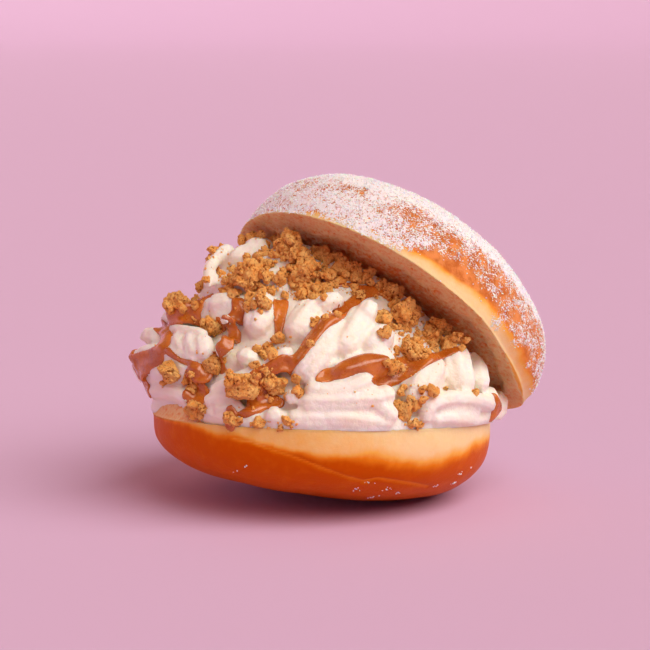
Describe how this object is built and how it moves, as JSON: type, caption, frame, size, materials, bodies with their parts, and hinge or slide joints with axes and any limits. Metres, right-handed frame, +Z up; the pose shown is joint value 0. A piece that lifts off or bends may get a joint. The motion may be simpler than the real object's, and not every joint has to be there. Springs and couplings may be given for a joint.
{
  "type": "filled beignet",
  "caption": "Round sugared yeast beignet, split and opened, filled with piped whipped cream, caramel sauce and broken biscuit.",
  "frame": {"origin": "on the flat spot on the underside that the beignet rests on, near the middle of the spot", "axes": "+Z up, +X to the right across the open mouth, +Y from the mouth to the back"},
  "size_m": [0.1135, 0.104, 0.0879],
  "materials": {
    "crust": "fried yeast dough, golden brown, slightly oily",
    "sugared_crust": "fried yeast dough rolled in fine sugar",
    "whipped_cream": "soft white piped cream with poured caramel and small crumbs",
    "biscuit": "dry, rough broken biscuit"
  },
  "bodies": {
    "root": {"bun_base": "crust", "bun_lid": "sugared_crust", "cream": "whipped_cream", "biscuit_01": "biscuit", "biscuit_02": "biscuit", "biscuit_03": "biscuit", "biscuit_04": "biscuit", "biscuit_05": "biscuit", "biscuit_06": "biscuit", "biscuit_07": "biscuit", "biscuit_08": "biscuit", "biscuit_09": "biscuit", "biscuit_10": "biscuit", "biscuit_11": "biscuit", "biscuit_12": "biscuit", "biscuit_13": "biscuit", "biscuit_14": "biscuit", "biscuit_15": "biscuit", "biscuit_16": "biscuit", "biscuit_17": "biscuit", "biscuit_18": "biscuit"}
  },
  "joints": []
}
